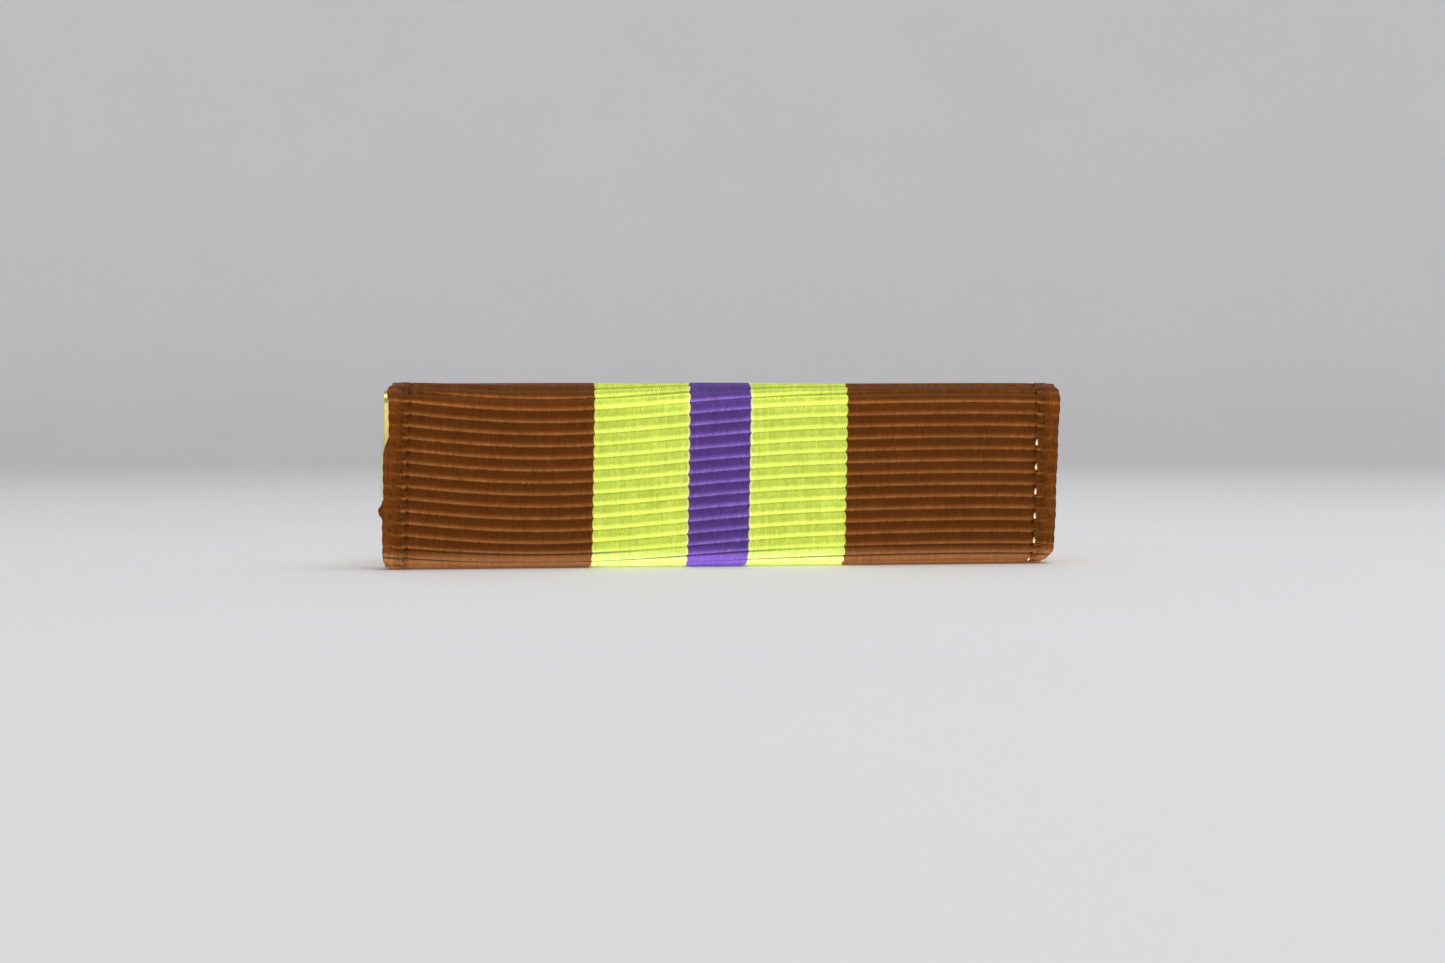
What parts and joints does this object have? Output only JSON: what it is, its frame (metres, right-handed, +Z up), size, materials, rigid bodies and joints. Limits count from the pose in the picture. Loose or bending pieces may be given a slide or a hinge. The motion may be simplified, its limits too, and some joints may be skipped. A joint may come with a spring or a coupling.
{
  "type": "service ribbon bar",
  "caption": "Service ribbon bar: a striped grosgrain ribbon glued round a slide-on brass backing, on a pressed bar with tack pins and sprung butterfly clutches.",
  "frame": {"origin": "middle of the mounting bar's flat rear face, where the cloth lies against it", "axes": "+X along the bar to the wearer's left, +Y straight back along the pins into the cloth, +Z up as worn; the ribbon faces -Y"},
  "size_m": [0.0352, 0.0096, 0.0094],
  "materials": {
    "ribbon_weave": "ribbed grosgrain weave with a slight sheen, brown with lime and purple stripes",
    "clear_glue": "dried clear glue, cloudy and slightly yellow",
    "backing_brass": "plain rolled brass sheet",
    "bar_brass": "pressed brass sheet, lightly brushed",
    "pin_metal": "drawn nickel-plated wire",
    "solder": "dull soft solder",
    "clutch_brass": "bright stamped brass",
    "spring_brass": "hard spring brass strip"
  },
  "bodies": {
    "bar": {"mounting_bar": "bar_brass", "left_pin": "pin_metal", "right_pin": "pin_metal", "left_solder": "solder", "right_solder": "solder"},
    "ribbon_unit": {"ribbon": "ribbon_weave", "adhesive_film": "clear_glue", "ribbon_backing": "backing_brass"},
    "left_clutch": {"left_clutch_base": "clutch_brass", "left_clutch_cover": "clutch_brass", "left_clutch_spring": "spring_brass"},
    "left_clutch_outer_wing": {"left_clutch_outer_wing": "spring_brass"},
    "left_clutch_inner_wing": {"left_clutch_inner_wing": "spring_brass"},
    "right_clutch": {"right_clutch_base": "clutch_brass", "right_clutch_cover": "clutch_brass", "right_clutch_spring": "spring_brass"},
    "right_clutch_outer_wing": {"right_clutch_outer_wing": "spring_brass"},
    "right_clutch_inner_wing": {"right_clutch_inner_wing": "spring_brass"}
  },
  "joints": [
    {"name": "ribbon_slide", "type": "slide", "parent": "bar", "child": "ribbon_unit", "axis": [1, 0, 0], "range_m": [-0.036, 0.036]},
    {"name": "left_clutch_slide", "type": "slide", "parent": "bar", "child": "left_clutch", "axis": [0, 1, 0], "range_m": [-0.0003, 0.008]},
    {"name": "left_clutch_outer_wing_squeeze", "type": "hinge", "parent": "left_clutch", "child": "left_clutch_outer_wing", "pos_m": [-0.0135, 0.00607, 0], "axis": [0, 0, -1], "range_deg": [0, 8], "stiffness_Nm_per_rad": 0.0002, "springref_deg": -5.73},
    {"name": "left_clutch_inner_wing_squeeze", "type": "hinge", "parent": "left_clutch", "child": "left_clutch_inner_wing", "pos_m": [-0.0087, 0.00607, 0], "axis": [0, 0, 1], "range_deg": [0, 8], "stiffness_Nm_per_rad": 0.0002, "springref_deg": -5.73},
    {"name": "right_clutch_slide", "type": "slide", "parent": "bar", "child": "right_clutch", "axis": [0, 1, 0], "range_m": [-0.0003, 0.008]},
    {"name": "right_clutch_outer_wing_squeeze", "type": "hinge", "parent": "right_clutch", "child": "right_clutch_outer_wing", "pos_m": [0.0135, 0.00607, 0], "axis": [0, 0, 1], "range_deg": [0, 8], "stiffness_Nm_per_rad": 0.0002, "springref_deg": -5.73},
    {"name": "right_clutch_inner_wing_squeeze", "type": "hinge", "parent": "right_clutch", "child": "right_clutch_inner_wing", "pos_m": [0.0087, 0.00607, 0], "axis": [0, 0, -1], "range_deg": [0, 8], "stiffness_Nm_per_rad": 0.0002, "springref_deg": -5.73}
  ],
  "couplings": [
    {"joint": "left_clutch_inner_wing_squeeze", "follows": "left_clutch_outer_wing_squeeze", "ratio": 1},
    {"joint": "right_clutch_inner_wing_squeeze", "follows": "right_clutch_outer_wing_squeeze", "ratio": 1}
  ]
}
